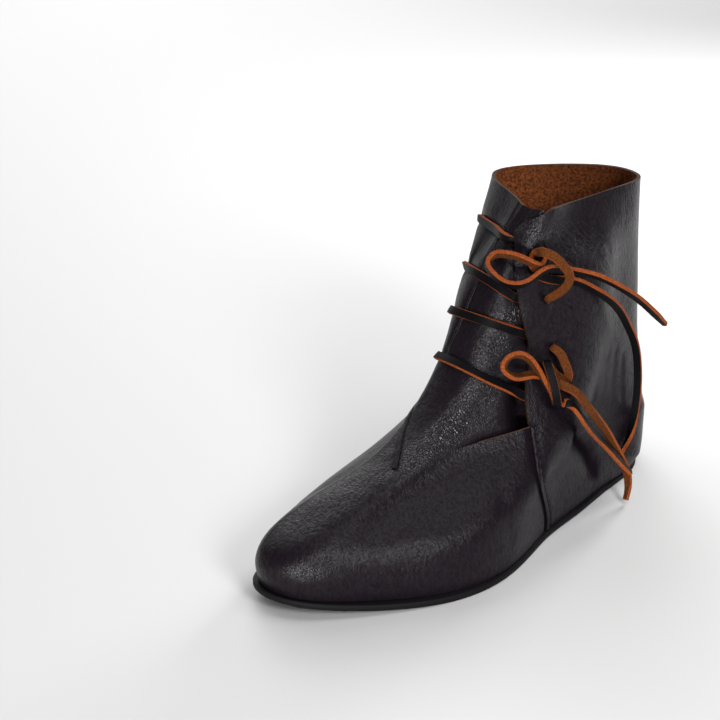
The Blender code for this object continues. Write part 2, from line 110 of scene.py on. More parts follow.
Ring = namedtuple("Ring", "name front_x front_y front_z back_x back_y back_z "
                  "lat_heel lat_waist lat_ball lat_toe med_heel med_waist med_ball med_toe "
                  "back_r front_r tilt")
RINGS = (
    Ring("feather", 281.0, 0.0, 13.5, 1.5, 0.0, 5.0,
         36.5, 36.8, 50.6, 24.8, 36.5, 36.8, 50.6, 24.8, 29.5, 24.0, 0.0),
    Ring("wall", 283.0, 0.0, 23.5, -2.5, 0.0, 16.0,
         37.2, 37.2, 50.4, 24.6, 37.2, 37.2, 50.4, 24.6, 29.5, 23.5, 0.0),
    Ring("crown", 276.0, 0.0, 34.8, -3.0, 0.0, 30.0,
         37.2, 37.8, 47.0, 20.6, 37.2, 37.8, 47.0, 20.6, 29.5, 23.0, 0.0),
    Ring("vamp", 244.4, 0.0, 46.5, -1.0, 0.0, 44.2,
         36.5, 37.8, 41.8, 16.0, 36.5, 37.8, 41.8, 16.0, 29.5, 22.5, 0.0),
    Ring("throat", 196.5, 0.0, 66.3, 3.0, 0.0, 60.3,
         35.3, 37.7, 37.4, 15.5, 35.3, 37.7, 37.4, 15.5, 29.8, 22.0, 0.0),
    Ring("instep", 160.0, 0.0, 101.7, 7.1, 0.0, 82.4,
         32.8, 37.5, 34.8, 16.8, 32.8, 37.5, 34.2, 17.2, 31.5, 24.0, 0.0),
    Ring("ankle", 144.0, 1.6, 132.5, 11.4, 1.0, 108.5,
         31.4, 35.4, 31.5, 16.4, 32.5, 39.2, 38.2, 19.5, 32.0, 23.0, 0.5),
    Ring("shaft", 131.5, 7.9, 157.0, 11.8, 2.0, 140.7,
         26.5, 31.0, 26.8, 15.0, 32.4, 45.4, 42.7, 15.7, 29.0, 19.5, 1.5),
    Ring("collar", 119.5, 16.9, 180.5, 14.2, 2.0, 175.0,
         24.2, 21.2, 15.0, 11.0, 33.2, 54.4, 41.1, 13.7, 23.5, 17.6, 2.1),
)
STATIONS = (0.0, 0.16, 0.42, 0.70, 0.93, 1.0)
SOLE_WIDTHS = (39.6, 39.8, 53.6, 27.8)
SOLE_BACK_R = 29.5
SOLE_FRONT_R = 25.0
WAIST_FILL = 5.5
WAIST_X = 94.0
WAIST_SPAN = 31.0
WAIST_TOP = 0.40
FEATHER_FILL = 2.4
FEATHER_X = 62.0
FEATHER_SPAN = 62.0
FEATHER_TOP = 0.16
DRAPE_RING = 2
DRAPE_POWER = 1.5
TILT_REACH = 35.0
LEVEL_RISE = 0.08

SWAY_X = (0.0, 45.0, 119.0, 199.0, 284.0)
SWAY_Y = (0.0, 0.0, 5.3, 3.1, -10.5)
SWAY_LIMITS = (-10.0, 300.0)

# edges of the leather on the surface, as turn against rise
Edge = namedtuple("Edge", "turn rise")


def trace(*places):
    """Line on the surface through places of turn and rise."""
    return tuple(Edge(*place) for place in places)


FLAP_EDGE = trace((0.323, 0.458), (0.344, 0.528), (0.365, 0.636), (0.408, 0.744), (0.483, 0.884),
    (0.512, 0.930))
FLAP_TOP = trace((0.430, 1.0), (0.456, 0.986), (0.490, 0.967), (0.505, 0.954), (0.512, 0.930))
MEDIAL_SEAM = trace((0.672, 0.490), (0.600, 0.540), (0.535, 0.604), (0.526, 0.718), (0.538, 0.824),
    (0.566, 0.926), (0.580, 1.0))
SLIT_EDGE = trace((0.323, 0.458), (0.344, 0.447), (0.368, 0.435), (0.398, 0.424), (0.448, 0.412),
    (0.480, 0.398))
MEDIAL_DART = trace((0.480, 0.398), (0.515, 0.442), (0.561, 0.478), (0.672, 0.490))
LATERAL_SEAM = trace((0.323, 0.456), (0.307, 0.398), (0.285, 0.310), (0.263, 0.222), (0.2345, 0.0))
MEDIAL_SIDE_SEAM = trace((0.672, 0.490), (0.694, 0.400), (0.728, 0.220), (0.765, 0.0))
LAP_TURN = 0.085
LAP_RISE = 0.045
SINK_TURN = 0.034
SINK_RISE = 0.022
SINK_CLEAR = 0.002
SLIT_END = 0.375
SLIT_EASE = 0.02
JOIN_END = 0.478
JOIN_EASE = 0.004
LAP_GAP = 0.5
BAR_DENT = 2.4
DENT_RISE = 0.024
DENT_LEAD = 0.012
DENT_EASE = 0.02
EDGE_GAP = 0.0012
PANEL_SLOPE = 0.32
PANEL_LOW = 0.483
CAVITY = 12.0
CAVITY_WIDE = 8.0
CAVITY_LINE = ((0.314, 0.430), (0.328, 0.475), (0.340, 0.520))

# bars of the laces: line from the hole in the flap, under the flap's edge, to the medial hole; depth of the
# groove; turn about the bar's length in degrees at the flap and at the medial side, positive where its upper
# edge comes out; and the strand that leaves the hole in the flap
Bar = namedtuple("Bar", "line sink roll strand")
LACE_BARS = {
    "upper_lace_bar_1": Bar(
        trace((0.408, 0.880), (0.507, 0.902), (0.533, 0.906), (0.612, 0.902), (0.700, 0.890)),
        1.1, (40.0, 12.0), "upper_lace_loop"),
    "upper_lace_bar_2": Bar(
        trace((0.353, 0.742), (0.410, 0.744), (0.449, 0.762), (0.489, 0.780), (0.580, 0.785),
              (0.665, 0.765)),
        1.1, (-14.0, 38.0), "upper_lace_wrap"),
    "lower_lace_bar_1": Bar(
        trace((0.329, 0.630), (0.372, 0.656), (0.414, 0.674), (0.462, 0.684), (0.540, 0.683),
              (0.620, 0.665)),
        0.3, (26.0, -20.0), "lower_lace_wrap"),
    "lower_lace_bar_2": Bar(
        trace((0.304, 0.502), (0.343, 0.525), (0.378, 0.548), (0.437, 0.574), (0.520, 0.588),
              (0.610, 0.570)),
        0.3, (-32.0, -20.0), "lower_lace_loop"),
}

# directions at the lacing, which faces forward and outward: out of the flap, up along it, back along it
AXES = {"out": (0.668, 0.624, 0.406), "up": (-0.297, -0.277, 0.914), "back": (-0.682, 0.731, 0.0),
        "in": (-0.668, -0.624, -0.406), "down": (0.297, 0.277, -0.914), "fore": (0.682, -0.731, 0.0)}

# routes of the tied strands, from the hole in the flap to the free end; words say which way the edge of the
# strip points from there on
LACE_STRANDS = {
    "upper_lace_loop": (
        "up out out", (122.5, 31.5, 160.5), (122.0, 33.1, 156.7), (124.2, 33.7, 153.9),
        (131.4, 34.0, 155.8), (135.0, 30.8, 158.5), (137.5, 26.2, 160.2), (139.4, 20.6, 160.4),
        (141.5, 15.2, 159.1), (145.4, 14.4, 156.3), (148.6, 17.9, 154.1), (150.1, 23.7, 151.7),
        (149.3, 28.9, 149.6), (145.7, 33.2, 148.6), (139.8, 36.3, 149.4), (132.8, 37.7, 152.1),
        (125.9, 38.7, 153.2), (118.0, 40.1, 151.4), (111.2, 41.5, 149.0), "up out out out",
        (102.8, 45.2, 146.3), "up out out out out", (93.3, 49.5, 142.0), (81.8, 53.4, 134.7),
        "up back out out out out", (67.2, 55.1, 124.7), (52.6, 56.0, 113.0), (38.5, 56.2, 101.1)),
    "upper_lace_wrap": (
        "back down", (119.0, 34.2, 133.5), (118.5, 36.9, 135.8), "back", (117.4, 40.4, 138.6),
        (116.9, 43.6, 142.4), (116.9, 45.5, 146.4), (118.6, 46.0, 151.0), "back up", (121.5, 43.8, 155.8),
        "up", (125.1, 40.5, 160.4), (127.8, 36.8, 162.2), "up out", (126.7, 31.6, 160.6), "out",
        (127.8, 28.4, 156.6), (128.4, 28.9, 153.0), "out up", (125.7, 30.6, 148.9), "up",
        (120.6, 32.8, 145.2), (114.7, 34.9, 143.0), "up out", (108.2, 37.2, 141.8), "up out out",
        (102.8, 40.1, 140.3), (97.1, 43.0, 137.1), (91.3, 45.9, 132.9), "up back out out",
        (76.3, 47.8, 121.2), "back back out", (57.5, 44.5, 102.7), (41.6, 40.8, 82.4), (37.2, 40.5, 65.4),
        (37.1, 40.9, 52.3), (38.2, 41.1, 42.3), "out out back", (42.4, 41.3, 28.2), "out",
        (49.2, 41.1, 19.7)),
    "lower_lace_loop": (
        "out", (123.4, 45.6, 78.8), (126.0, 44.6, 84.4), (130.7, 43.4, 92.8), "out out up",
        (135.7, 41.8, 101.1), (139.6, 39.2, 107.4), (144.2, 36.2, 110.6), "out out fore",
        (149.4, 33.4, 109.6), (152.2, 32.6, 105.3), "out out down", (149.2, 34.0, 100.3),
        (142.3, 35.7, 97.1), "out down", (134.2, 38.1, 96.6), "down", (127.4, 41.5, 94.0),
        (121.4, 45.8, 89.3), (112.9, 50.3, 83.5), "down fore", (106.6, 52.2, 75.7), "down fore in",
        (97.0, 52.6, 64.9), "fore fore in", (80.1, 52.1, 45.7), (68.8, 53.3, 28.5), (63.2, 54.8, 16.9),
        "fore in", (63.8, 56.5, 8.9), (67.7, 58.0, 3.0)),
    "lower_lace_wrap": (
        "down fore", (118.4, 38.6, 107.1), (117.3, 41.7, 105.1), "fore", (116.1, 44.5, 100.4),
        (113.8, 45.7, 94.2), "up fore", (112.4, 44.7, 88.8), "up", (116.2, 42.5, 90.3), "back up",
        (120.4, 40.1, 95.0), "back", (124.5, 40.0, 100.0), (128.1, 42.1, 102.7), (129.9, 45.6, 99.5),
        (129.6, 48.1, 93.3), (129.3, 49.8, 87.5), (127.9, 49.9, 82.4), (125.1, 48.9, 79.3),
        (121.6, 48.3, 78.5), "back up", (119.1, 49.3, 78.6), "back up in in in", (116.0, 51.8, 76.2),
        (111.3, 55.0, 68.6), (85.1, 54.0, 41.9), (77.1, 56.9, 31.9), (67.7, 59.8, 20.7)),
}

# soft troughs and ridges of the worn leather: height, half width, line on the surface, share of the line on
# which the form fades at each end, and distance from the line
Crease = namedtuple("Crease", "height wide line fade aside", defaults=(0.18, 0.0))
CREASES = {
    "knot_trough": Crease(-2.0, 8.0, ((0.300, 0.489), (0.284, 0.459), (0.256, 0.409), (0.204, 0.260),
        (0.187, 0.188), (0.172, 0.075)), 0.10),
    "knot_ridge": Crease(0.7, 5.0, ((0.262, 0.470), (0.222, 0.380), (0.186, 0.250), (0.160, 0.120))),
    "ankle_fold_a": Crease(-0.7, 2.4, ((0.213, 0.600), (0.199, 0.508), (0.186, 0.428), (0.166, 0.330))),
    "ankle_fold_b": Crease(-0.6, 2.2, ((0.188, 0.592), (0.178, 0.498), (0.168, 0.418), (0.152, 0.320))),
    "ankle_fold_c": Crease(-0.5, 2.2, ((0.166, 0.564), (0.158, 0.466), (0.147, 0.368), (0.135, 0.250))),
    "ball_fold_a": Crease(-0.5, 4.0, ((0.330, 0.360), (0.306, 0.256), (0.291, 0.158), (0.284, 0.060))),
    "flap_fold_a": Crease(-0.25, 2.2, ((0.373, 0.932), (0.328, 0.872), (0.290, 0.820))),
    "flap_fold_b": Crease(-0.25, 2.2, ((0.337, 0.936), (0.301, 0.878), (0.269, 0.830))),
    "flap_fold_c": Crease(-0.25, 2.2, ((0.292, 0.936), (0.268, 0.884), (0.243, 0.840))),
    "heel_fullness": Crease(2.8, 15.0, ((0.112, 0.020), (0.110, 0.160), (0.112, 0.300))),
    "toe_fullness": Crease(4.3, 14.0, ((0.548, 0.100), (0.580, 0.165), (0.608, 0.210), (0.642, 0.250),
        (0.680, 0.310)), 0.48),
    "quarter_fullness": Crease(2.2, 18.0, ((0.262, 0.300), (0.250, 0.550), (0.262, 0.750), (0.280, 0.960))),
    "panel_seam": Crease(-0.6, 2.6, MEDIAL_SEAM[2:], 0.0),
    "lateral_seam": Crease(-1.3, 1.9, LATERAL_SEAM, 0.0),
    "lateral_stitches": Crease(-0.9, 1.6, LATERAL_SEAM, 0.0, -3.3),
    "medial_side_seam": Crease(-1.3, 1.9, MEDIAL_SIDE_SEAM, 0.0),
    "medial_side_stitches": Crease(-0.9, 1.6, MEDIAL_SIDE_SEAM, 0.0, 3.3),
    "dart_seam": Crease(-0.8, 2.0, MEDIAL_DART[:3], 0.0),
}
# places with a net of fine wrinkles: middle on the surface, reach along turn and rise, share, and slant
Net = namedtuple("Net", "turn rise turn_reach rise_reach share slant", defaults=(0.0,))
NETS = (Net(0.432, 0.480, 0.042, 0.080, 1.0, -0.30), Net(0.410, 0.700, 0.022, 0.034, 0.9),
        Net(0.425, 0.625, 0.045, 0.035, 0.6), Net(0.480, 0.940, 0.040, 0.040, 0.4),
        Net(0.400, 0.930, 0.060, 0.050, 0.35), Net(0.175, 0.430, 0.030, 0.130, 0.35),
        Net(0.450, 0.110, 0.030, 0.030, 0.25), Net(0.320, 0.860, 0.060, 0.060, 0.25),
        Net(0.245, 0.400, 0.030, 0.090, 0.45, 0.3))
# places where the knots draw the leather into slanting wrinkles
SLANTS = (Net(0.345, 0.870, 0.070, 0.070, 1.0), Net(0.290, 0.880, 0.050, 0.080, 0.5),
          Net(0.250, 0.440, 0.040, 0.080, 0.5), Net(0.310, 0.700, 0.030, 0.060, 0.4))
# painted shade: lines along the seams and the knot trough where the gloss is taken away so they read dark as
# in shade: half width, distance from the line, wave, share and the line
PaintedShade = namedtuple("PaintedShade", "wide aside wave share line")
PAINTED_SHADE_LINES = (PaintedShade(2.2, 0.7, 0.0, 1.6, LATERAL_SEAM), PaintedShade(1.1, -3.6, 0.5, 1.6, LATERAL_SEAM),
         PaintedShade(2.2, -0.7, 0.0, 1.6, MEDIAL_SIDE_SEAM), PaintedShade(1.1, 3.6, 0.5, 1.6, MEDIAL_SIDE_SEAM),
         PaintedShade(6.5, 0.0, 0.0, 1.15, CREASES["knot_trough"].line),
         PaintedShade(0.9, 0.0, 0.0, 1.0, MEDIAL_SEAM[2:]), PaintedShade(0.9, 0.0, 0.0, 1.0, MEDIAL_DART[:3]))
PAINTED_SHADE_PITCH = 4.3
# painted shade on the medial flank: its gloss is taken away so it reads dark as if shaded
PAINTED_SHADE_FLANK = Net(0.635, 0.800, 0.085, 0.320, 1.0)
HOLE_DIMPLE = 1.0
HOLE_WIDE = 3.6


# surface of the leather

def spline(knots, values, at):
    """Natural cubic spline through the rows of values."""
    knots = np.asarray(knots, float)
    values = np.asarray(values, float).reshape(len(knots), -1)
    at = np.asarray(at, float)
    step = np.diff(knots)
    left = np.eye(len(knots))
    right = np.zeros_like(values)
    for i in range(1, len(knots) - 1):
        left[i, i - 1:i + 2] = step[i - 1], 2.0 * (step[i - 1] + step[i]), step[i]
        right[i] = 6.0 * ((values[i + 1] - values[i]) / step[i] - (values[i] - values[i - 1]) / step[i - 1])
    bend = np.linalg.solve(left, right)
    i = np.clip(np.searchsorted(knots, at, side="right") - 1, 0, len(knots) - 2)
    a = (knots[i + 1] - at)[..., None]
    b = (at - knots[i])[..., None]
    h = step[i][..., None]
    cubic = (bend[i] * a ** 3 + bend[i + 1] * b ** 3) / (6.0 * h)
    return cubic + (values[i] / h - bend[i] * h / 6.0) * a + (values[i + 1] / h - bend[i + 1] * h / 6.0) * b


def smooth(x):
    """Soft step from 0 to 1."""
    x = np.clip(x, 0.0, 1.0)
    return x * x * (3.0 - 2.0 * x)


def bell(x):
    return np.exp(-x ** 2)


def unit(vectors):
    return vectors / np.linalg.norm(vectors, axis=-1, keepdims=True)


def way_along(points):
    """Distance along a line of points to each of them."""
    return np.concatenate([[0.0], np.cumsum(np.linalg.norm(np.diff(points, axis=0), axis=1))])


def gaps(places, line):
    """Distance from each place to each point of a line."""
    return np.linalg.norm(places[..., None, :] - line, axis=-1)


TABLE = np.array([ring[1:] for ring in RINGS])
CHORDS = sum(np.linalg.norm(np.diff(TABLE[:, ends], axis=0), axis=1) ** 0.5 for ends in ([0, 2], [3, 5]))
RISES = np.concatenate([[0.0], np.cumsum(CHORDS)]) / CHORDS.sum()
ANGLES = np.arccos(1.0 - 2.0 * np.array(STATIONS))
WAVES = np.arange(len(STATIONS))
SOLVE = np.linalg.inv(np.cos(np.outer(ANGLES, WAVES))).T


def sway(x):
    """Bend of the foot's centre line to the side."""
    return spline(SWAY_X, SWAY_Y, np.clip(x, *SWAY_LIMITS))[..., 0]


def half_width(angle, length, back_r, front_r, widths):
    """Distance from the centre line to the ring at an angle, from the widths at the four stations."""
    half = length / 2.0
    ends = np.sqrt(back_r * half)[..., None], np.sqrt(front_r * half)[..., None]
    values = np.concatenate([ends[0], widths / np.sin(ANGLES[1:-1]), ends[1]], axis=-1)
    waves = np.cos(angle[..., None] * WAVES)
    return np.sin(angle) * (waves * (values @ SOLVE)).sum(-1)


def waist_fill(x):
    """The lateral side runs almost straight from the heel to the ball."""
    return WAIST_FILL * bell((x - WAIST_X) / WAIST_SPAN)


def toe_lift(x):
    return TOE_SPRING * np.clip((x / SOLE_LENGTH - SPRING_START) / (1.0 - SPRING_START), 0.0, 1.0) ** 2


def point(turn, rise):
    """Outer face of the leather."""
    turn, rise = np.broadcast_arrays(np.asarray(turn, float) % 1.0, np.asarray(rise, float))
    row = spline(RISES, TABLE, rise)
    front_x, front_y, front_z, back_x, back_y, back_z = np.moveaxis(row[..., :6], -1, 0)
    lateral = turn <= 0.5
    angle = np.where(lateral, turn, 1.0 - turn) * 2.0 * np.pi
    along = (1.0 - np.cos(angle)) / 2.0
    x = back_x + (front_x - back_x) * along
    z = back_z + (front_z - back_z) * along
    widths = np.where(lateral[..., None], row[..., 6:10], row[..., 10:14])
    length = np.hypot(front_x - back_x, front_z - back_z)
    out = half_width(angle, length, row[..., 14], row[..., 15], widths) * np.where(lateral, 1.0, -1.0)
    feather = FEATHER_FILL * bell((x - FEATHER_X) / FEATHER_SPAN) * smooth(1.0 - rise / FEATHER_TOP)
    out = out + np.where(lateral, waist_fill(x) * smooth(1.0 - rise / WAIST_TOP) + feather, 0.0)
    y = sway(x) + back_y + (front_y - back_y) * along + out
    drape = np.clip(1.0 - rise / RISES[DRAPE_RING], 0.0, 1.0) ** DRAPE_POWER
    low_z = RINGS[0].back_z + (RINGS[0].front_z - RINGS[0].back_z) * along
    z = z + drape * (SOLE_THICK + GAP + toe_lift(x) - low_z) + row[..., 16] * out / TILT_REACH
    return np.stack([x, y, z], axis=-1)


def normal(turn, rise):
    """Direction out of the leather, level at the sole."""
    step = 1e-4
    rise = np.asarray(rise, float)
    low = np.clip(rise - step, 0.0, 1.0)
    high = np.clip(rise + step, 0.0, 1.0)
    round_foot = point(np.asarray(turn) + step, rise) - point(np.asarray(turn) - step, rise)
    upward = point(turn, high) - point(turn, low)
    out = np.cross(upward, round_foot)
    out[..., 2] *= smooth(rise / LEVEL_RISE)
    return unit(out)


def skin(turn, rise, depth):
    """Point at a depth inside the outer face, or outside it where the depth is negative."""
    return point(turn, rise) - normal(turn, rise) * np.asarray(depth, float)[..., None]


def rise_on(edge, turn):
    return np.interp(turn, *np.transpose(edge))


def turn_on(edge, rise):
    turns, rises = np.transpose(edge)
    return spline(rises, turns, np.clip(rise, rises[0], rises[-1]))[..., 0]


def tongue_depth(turn, rise):
    """Depth of the front panel: flush, but sunk under the flap and the slit and dented under the bars."""
    flap = turn_on(FLAP_EDGE, rise)
    under_flap = smooth((flap + SINK_CLEAR + SINK_TURN - turn) / SINK_TURN)
    slit = rise_on(SLIT_EDGE, turn)
    open_slit = smooth((SLIT_END + SLIT_EASE - turn) / (2.0 * SLIT_EASE))
    under_slit = smooth((slit + SINK_CLEAR + SINK_RISE - rise) / SINK_RISE) * open_slit
    dent = np.zeros(np.shape(turn))
    for bar in LACE_BARS.values():
        dent = np.maximum(dent, bell((rise - rise_on(bar.line, turn)) / DENT_RISE))
    bars = BAR_DENT * dent * smooth((flap + DENT_LEAD - turn) / DENT_EASE)
    return (WALL + LAP_GAP) * np.maximum(under_flap, under_slit) + bars


def cavity_depth(turn, rise):
    """The panel falls away behind the corner of the slit."""
    line = point(*on_surface(CAVITY_LINE, CAVITY_COUNT))
    return CAVITY * bell(gaps(point(turn, rise), line).min(axis=-1) / CAVITY_WIDE)


def on_surface(line, count):
    """Even places on the surface along a smooth line of turn and rise."""
    rows = np.array(line)
    knots = way_along(point(rows[:, 0], rows[:, 1]))
    return spline(knots, rows, np.linspace(0.0, knots[-1], count)).T


def bar_pull(turn):
    """Share of a bar's full groove, which starts past the front of the shaft."""
    return smooth((turn - PULL_START) / PULL_REACH)


def relief(places):
    """Height of the creases, the dimples at the lace holes and the grooves under the bars."""
    height = np.zeros(len(places))
    for crease in CREASES.values():
        gap = gaps(places, seam_line(crease.line, crease.aside, CREASE_COUNT)[0])
        share = gap.argmin(axis=1) / (CREASE_COUNT - 1.0)
        fade = smooth(share / crease.fade) * smooth((1.0 - share) / crease.fade) if crease.fade else 1.0
        height += crease.height * bell(gap.min(axis=1) / crease.wide) * fade
    for bar in LACE_BARS.values():
        for hole in (bar.line[0], bar.line[-1]):
            gap = np.linalg.norm(places - point(hole.turn, hole.rise), axis=-1)
            height -= HOLE_DIMPLE * bell(gap / HOLE_WIDE)
        turn, rise = on_surface(bar.line[1:], BAR_COUNT)
        gap = gaps(places, point(turn, rise))
        depth = bar.sink * bar_pull(turn[gap.argmin(axis=1)])
        height -= depth * bell(gap.min(axis=1) / BAR_GROOVE)
    return height


# meshes

def put(name, data):
    """Object with its data, in the scene."""
    thing = bpy.data.objects.new(name, data)
    bpy.context.scene.collection.objects.link(thing)
    return thing


def add_mesh(name, points, faces, materials, face_material=None):
    """Piece at the origin with its place in its mesh, from points in millimetres."""
    mesh = bpy.data.meshes.new(name)
    mesh.from_pydata(((np.asarray(points) - ORIGIN) * MM).tolist(), [], faces)
    for material in materials:
        mesh.materials.append(material)
    if face_material is not None:
        mesh.polygons.foreach_set("material_index", np.asarray(face_material, np.int32))
    mesh.shade_smooth()
    mesh.set_sharp_from_angle(angle=np.radians(SHARP_ANGLE))
    mesh.update()
    return put(name, mesh)


def shell_faces(quads, count):
    """Outer faces, inner faces and the side faces along the free edges of a sheet with two sides."""
    quads = np.asarray(quads)
    starts = quads.ravel()
    ends = np.roll(quads, -1, axis=1).ravel()
    keys = starts * count + ends
    free = ~np.isin(keys, ends * count + starts)
    a, b = starts[free], ends[free]
    sides = np.stack([a, b, b + count, a + count], axis=1)
    faces = np.concatenate([quads[:, ::-1], quads + count, sides])
    kind = np.repeat([0, 1, 2], [len(quads), len(quads), len(sides)])
    return faces.tolist(), kind


def grid_quads(rows, columns, closed):
    """Faces between rows of points; closed rows join their last point to their first."""
    quads = []
    for r in range(rows - 1):
        for c in range(columns if closed else columns - 1):
            a, b = r * columns + c, r * columns + (c + 1) % columns
            quads.append([a, b, b + columns, a + columns])
    return quads


def throat_columns():
    """Turns and rises of the throat's lower edge, from the lateral corner to the medial one."""
    slit = np.linspace(SLIT_EDGE[0].turn, SLIT_EDGE[-1].turn, SLIT_COLUMNS + 1)
    dart = np.linspace(MEDIAL_DART[0].turn, MEDIAL_DART[-1].turn, DART_COLUMNS + 1)
    turns = np.concatenate([slit[:-1], dart])
    rises = np.concatenate([rise_on(SLIT_EDGE, slit[:-1]), rise_on(MEDIAL_DART, dart)])
    return turns, rises


def fine_columns():
    """Shares of the way round the heel from the medial corner, closer near the seams and the flap."""
    share = np.linspace(0.0, 1.0, FINE_SAMPLES)
    fine = smooth((FINE_MEDIAL - share) / FINE_EASE) + smooth((share - FINE_LATERAL) / FINE_EASE)
    weight = 1.0 + (FINE_COLUMNS - 1.0) * fine
    total = np.concatenate([[0.0], np.cumsum((weight[1:] + weight[:-1]) / 2.0)])
    return np.interp(np.linspace(0.0, total[-1], BACK_COLUMNS + 1), total, share)


def upper_grid():
    """Turn, rise and faces of the lower part round the whole foot and of the quarters above it."""
    front, front_top = throat_columns()
    around = fine_columns()
    back = front[-1] + (front[0] + 1.0 - front[-1]) * around
    back_top = front_top[-1] + (front_top[0] - front_top[-1]) * around
    turns = np.concatenate([front, back[1:-1]])
    top = np.concatenate([front_top, back_top[1:-1]])
    columns = len(turns)
    turn = [np.tile(turns, len(LOW_ROWS))]
    rise = [np.outer(LOW_ROWS, top).ravel()]
    quads = grid_quads(len(LOW_ROWS), columns, True)
    last = (len(LOW_ROWS) - 1) * columns
    base = [last + c % columns for c in range(len(front) - 1, columns + 1)]
    start = last + columns
    rim = MEDIAL_SEAM[-1].turn + (FLAP_EDGE[-1].turn + 1.0 - MEDIAL_SEAM[-1].turn) * around
    limit = rise_on(FLAP_TOP, rim - 1.0)
    for h in HIGH_ROWS[1:]:
        seam = turn_on(MEDIAL_SEAM, back_top[0] + (1.0 - back_top[0]) * h)
        flap = turn_on(FLAP_EDGE, back_top[-1] + (FLAP_EDGE[-1].rise - back_top[-1]) * h)
        turn.append(seam + (flap + 1.0 - seam) * around)
        rise.append(back_top + (limit - back_top) * h)
        row = list(range(start, start + len(base)))
        for c in range(BACK_COLUMNS):
            quads.append([base[c], base[c + 1], row[c + 1], row[c]])
        base = row
        start += len(row)
    return np.concatenate(turn), np.concatenate(rise), quads


def panel_grid():
    """Turn, rise and faces of the front panel, from the throat's edge to the collar."""
    edge_turns, edge_rises = throat_columns()
    lap_turns = np.linspace(edge_turns[0] - LAP_TURN, edge_turns[0], LAP_COLUMNS + 1)[:-1]
    turns = np.concatenate([lap_turns, edge_turns])
    rises = np.concatenate([np.full(LAP_COLUMNS, edge_rises[0]), edge_rises])
    joined = smooth((turns - SLIT_END) / SLIT_EASE) * smooth((JOIN_END - turns) / JOIN_EASE)
    bottom = rises - LAP_RISE * smooth((SLIT_END - turns) / SLIT_EASE) + EDGE_GAP * (1.0 - joined)
    lateral = turn_on(FLAP_EDGE, bottom) - LAP_TURN
    medial = turn_on(MEDIAL_SEAM, rises)
    share = (turns - lateral) / (medial - lateral)
    rim = FLAP_EDGE[-1].turn - LAP_TURN + (MEDIAL_SEAM[-1].turn - FLAP_EDGE[-1].turn + LAP_TURN) * share
    top = 1.0 - PANEL_SLOPE * np.clip(PANEL_LOW - rim, 0.0, 1.0)
    turn, rise = [], []
    for h in PANEL_ROWS:
        level = bottom + (top - bottom) * h
        lateral = turn_on(FLAP_EDGE, level) - LAP_TURN
        medial = turn_on(MEDIAL_SEAM, level) - EDGE_GAP
        turn.append(lateral + (medial - lateral) * share)
        rise.append(level)
    return np.concatenate(turn), np.concatenate(rise), grid_quads(len(PANEL_ROWS), len(turns), False)


# materials

# patterns of the grain leather: sizes in millimetres, shapes, and shares in the height of its bump
BEND_SIZE = 9.0
BEND_PULL = 4.0
STREAK_SIZE = 1.7
STREAK_SHAPE = (1.0, 1.0, 0.45)
STREAK_SHARE = 1.6
GRAIN_SIZE = 0.8
NET_SIZE = 1.4
NET_EDGE = 0.22
NET_SHARE = 11.0
FOLD_SIZE = 2.0
FOLD_SHAPE = (1.0, 1.0, 0.16)
FOLD_ANGLE = -40.0
FOLD_SHARE = 11.0
SOFT_SIZE = 22.0
SOFT_SHARE = 5.0
BUMP_HEIGHT = 0.20
WRINKLE_SHINE = 0.50
NAP_HEIGHT = 0.3
VECTOR = "ShaderNodeVectorMath"


def linear(code):
    """Linear colour from an sRGB hex value."""
    part = np.array([int(code[i:i + 2], 16) for i in (1, 3, 5)]) / 255.0
    rgb = np.where(part <= 0.04045, part / 12.92, ((part + 0.055) / 1.055) ** 2.4)
    return (*rgb.tolist(), 1.0)


def node(tree, kind, settings=None, **links):
    """Node with its settings; a link is a socket or a value, named for its input, or i0 for the first."""
    made = tree.nodes.new(kind)
    for key, value in (settings or {}).items():
        setattr(made, key, value)
    for key, value in links.items():
        numbered = key[0] == "i" and key[1:].isdigit()
        socket = made.inputs[int(key[1:]) if numbered else key.replace("_", " ")]
        if isinstance(value, bpy.types.NodeSocket):
            tree.links.new(value, socket)
        else:
            socket.default_value = value
    return made


def new_material(name):
    material = bpy.data.materials.new(name)
    material.use_nodes = True
    material.node_tree.nodes.clear()
    return material, material.node_tree


def finish_material(tree, **links):
    """Surface with the given inputs, led to the output."""
    shader = node(tree, "ShaderNodeBsdfPrincipled", **links)
    node(tree, "ShaderNodeOutputMaterial", Surface=shader.outputs[0])


def reckon(tree, operation, *values, kind="ShaderNodeMath"):
    """Result of a math node on sockets or values."""
    links = {f"i{k}": value for k, value in enumerate(values)}
    return node(tree, kind, {"operation": operation}, **links).outputs[0]


def noise(tree, place, size, detail, **links):
    """Outputs of a noise with a pattern size in millimetres."""
    scale = 1.0 / (size * MM)
    return node(tree, "ShaderNodeTexNoise", Vector=place, Scale=scale, Detail=detail, **links).outputs


def two_tone(tree, share, dark, pale):
    """Mix of two colours by a share."""
    mix = node(tree, "ShaderNodeMix", {"data_type": "RGBA"}, Factor=share, A=linear(dark), B=linear(pale))
    return mix.outputs["Result"]


